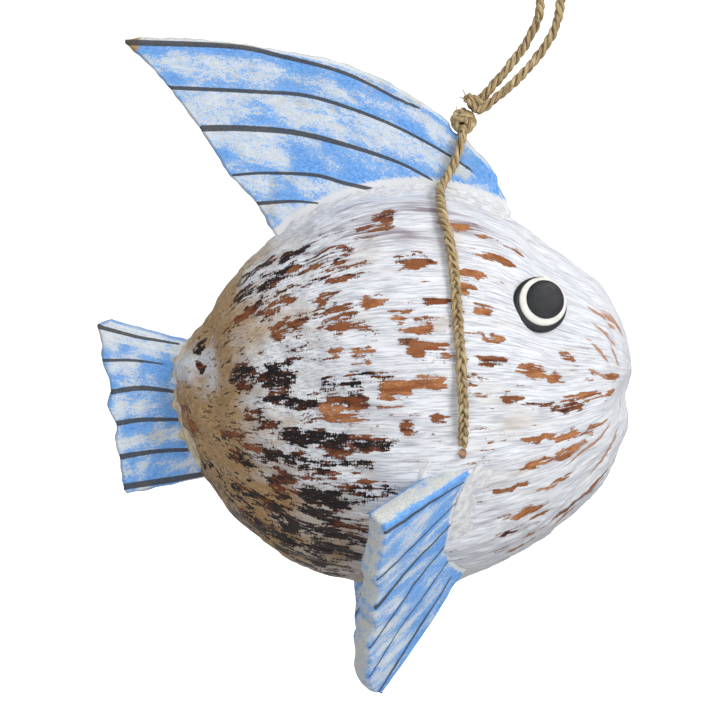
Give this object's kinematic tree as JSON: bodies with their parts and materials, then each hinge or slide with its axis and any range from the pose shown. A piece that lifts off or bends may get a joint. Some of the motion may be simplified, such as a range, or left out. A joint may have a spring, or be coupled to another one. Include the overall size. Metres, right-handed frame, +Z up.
{
  "type": "coconut fish ornament",
  "caption": "Hanging fish made from a whole dried coconut in its husk, with painted wooden fins, button eyes and a plaited cord sling.",
  "frame": {"origin": "where a hook bears inside the top bend of the hanging loop", "axes": "+Z up, +X towards the fish's nose, -Y towards its right side"},
  "size_m": [0.267, 0.2098, 0.362],
  "materials": {
    "husk": "matte",
    "shell": "satin",
    "kernel": "matte",
    "fin": "matte",
    "putty": "matte",
    "peg": "matte",
    "eye_white": "satin",
    "eye_black": "satin",
    "cord": "matte"
  },
  "bodies": {
    "loop": {"hanging_loop": "cord", "knot_collar": "cord"},
    "knot": {"knot": "cord"},
    "fish": {"husk": "husk", "nut_shell": "shell", "dried_kernel": "kernel", "dorsal_fin": "fin", "dorsal_putty": "putty", "dorsal_pegs": "peg", "tail_fin": "fin", "tail_putty": "putty", "tail_pegs": "peg", "pectoral_fin_right": "fin", "pectoral_putty_right": "putty", "pectoral_pegs_right": "peg", "pectoral_fin_left": "fin", "pectoral_putty_left": "putty", "pectoral_pegs_left": "peg", "eye_ring_right": "eye_black", "eye_plug_right": "eye_white", "eye_pupil_right": "eye_black", "eye_ring_left": "eye_black", "eye_plug_left": "eye_white", "eye_pupil_left": "eye_black", "cord_leg_right": "cord", "cord_wedge_right": "peg", "cord_leg_left": "cord", "cord_wedge_left": "peg"}
  },
  "joints": [
    {"name": "twist", "type": "hinge", "parent": "loop", "child": "knot", "pos_m": [-0.0425, 0, -0.0765], "axis": [0, 0, 1], "range_deg": [-180, 180]},
    {"name": "sway", "type": "hinge", "parent": "knot", "child": "fish", "pos_m": [-0.0425, 0, -0.0765], "axis": [1, 0, 0], "range_deg": [-40, 40]}
  ]
}
